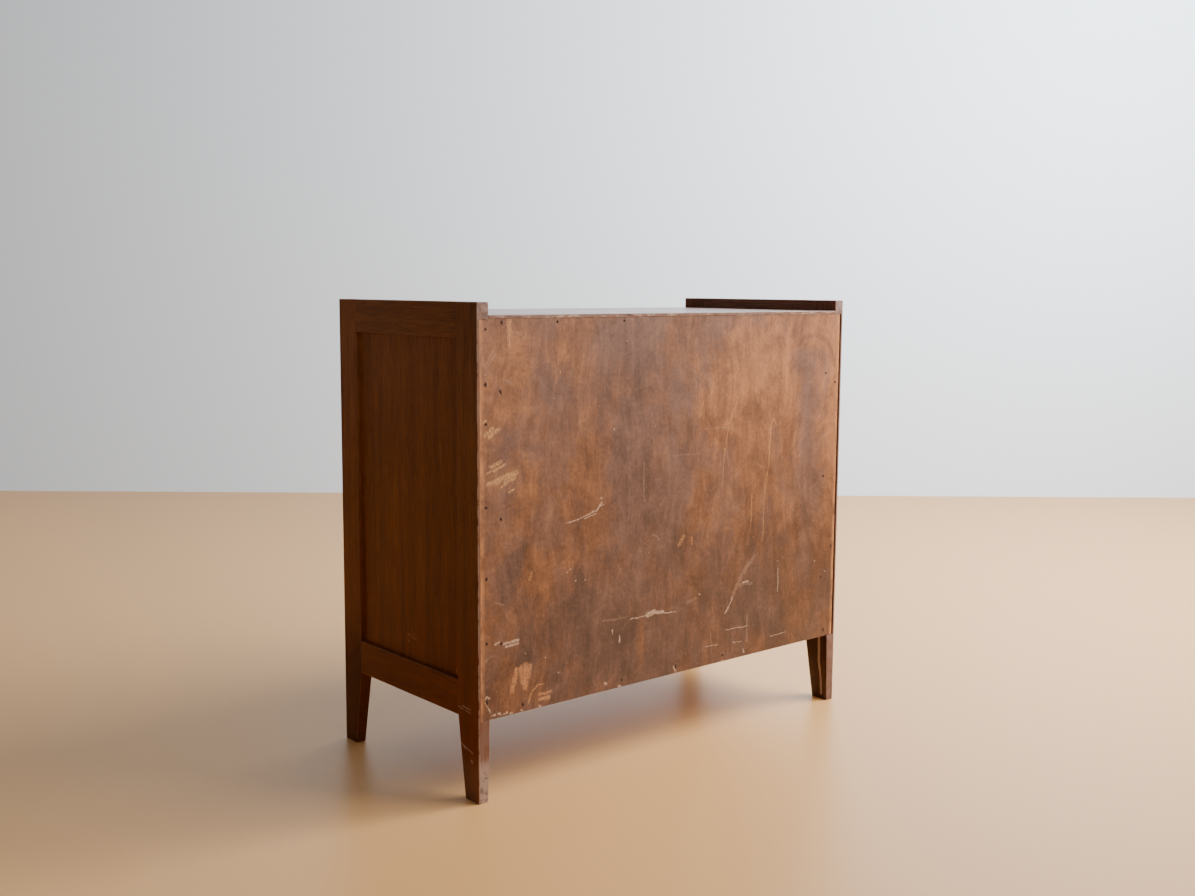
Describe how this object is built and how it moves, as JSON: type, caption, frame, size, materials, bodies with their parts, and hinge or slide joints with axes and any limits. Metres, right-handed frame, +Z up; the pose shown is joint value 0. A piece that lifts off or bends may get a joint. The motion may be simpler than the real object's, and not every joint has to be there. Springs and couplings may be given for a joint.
{
  "type": "chest of drawers",
  "caption": "Low wooden chiffonier with full-width drawers on side runners between frame-and-panel ends that rise above its top board and run down as tapered legs.",
  "frame": {"origin": "on the floor, under the middle of the box round the whole chest with its knobs", "axes": "+Z up, -Y the way the drawers open, +Y the plywood back, +X the right end for someone in front"},
  "size_m": [0.982, 0.497, 0.9],
  "materials": {
    "dark_wood": "satin varnish",
    "polished_top": "gloss polish",
    "plywood": "stained and varnished",
    "bare_wood": "planed, unfinished",
    "drawer_wood": "planed, unfinished",
    "drawer_plywood": "sanded, unfinished",
    "knob_wood": "gloss polish",
    "screw_brass": "dull",
    "nail_steel": "dull"
  },
  "bodies": {
    "case": {"back_nails": "nail_steel", "back_panel": "plywood", "bottom_left_runner": "bare_wood", "bottom_right_runner": "bare_wood", "front_bottom_rail": "dark_wood", "glue_blocks": "bare_wood", "left_bottom_rail": "dark_wood", "left_end_panel": "dark_wood", "left_front_leg": "dark_wood", "left_rear_leg": "dark_wood", "left_top_rail": "dark_wood", "middle_left_runner": "bare_wood", "middle_right_runner": "bare_wood", "rear_bottom_rail": "bare_wood", "right_bottom_rail": "dark_wood", "right_end_panel": "dark_wood", "right_front_leg": "dark_wood", "right_rear_leg": "dark_wood", "right_top_rail": "dark_wood", "runner_screws": "screw_brass", "top_board": "polished_top", "top_left_runner": "bare_wood", "top_right_runner": "bare_wood"},
    "bottom_drawer": {"bottom_drawer_back": "drawer_wood", "bottom_drawer_bottom": "drawer_plywood", "bottom_drawer_bottom_nails": "nail_steel", "bottom_drawer_front": "dark_wood", "bottom_drawer_knob_screws": "screw_brass", "bottom_drawer_knobs": "knob_wood", "bottom_drawer_left_side": "drawer_wood", "bottom_drawer_right_side": "drawer_wood"},
    "middle_drawer": {"middle_drawer_back": "drawer_wood", "middle_drawer_bottom": "drawer_plywood", "middle_drawer_bottom_nails": "nail_steel", "middle_drawer_front": "dark_wood", "middle_drawer_knob_screws": "screw_brass", "middle_drawer_knobs": "knob_wood", "middle_drawer_left_side": "drawer_wood", "middle_drawer_right_side": "drawer_wood"},
    "top_drawer": {"top_drawer_back": "drawer_wood", "top_drawer_bottom": "drawer_plywood", "top_drawer_bottom_nails": "nail_steel", "top_drawer_front": "dark_wood", "top_drawer_knob_screws": "screw_brass", "top_drawer_knobs": "knob_wood", "top_drawer_left_side": "drawer_wood", "top_drawer_right_side": "drawer_wood"}
  },
  "joints": [
    {"name": "bottom_drawer_slide", "type": "slide", "parent": "case", "child": "bottom_drawer", "axis": [0, -1, 0], "range_m": [0, 0.33]},
    {"name": "middle_drawer_slide", "type": "slide", "parent": "case", "child": "middle_drawer", "axis": [0, -1, 0], "range_m": [0, 0.33]},
    {"name": "top_drawer_slide", "type": "slide", "parent": "case", "child": "top_drawer", "axis": [0, -1, 0], "range_m": [0, 0.33]}
  ]
}
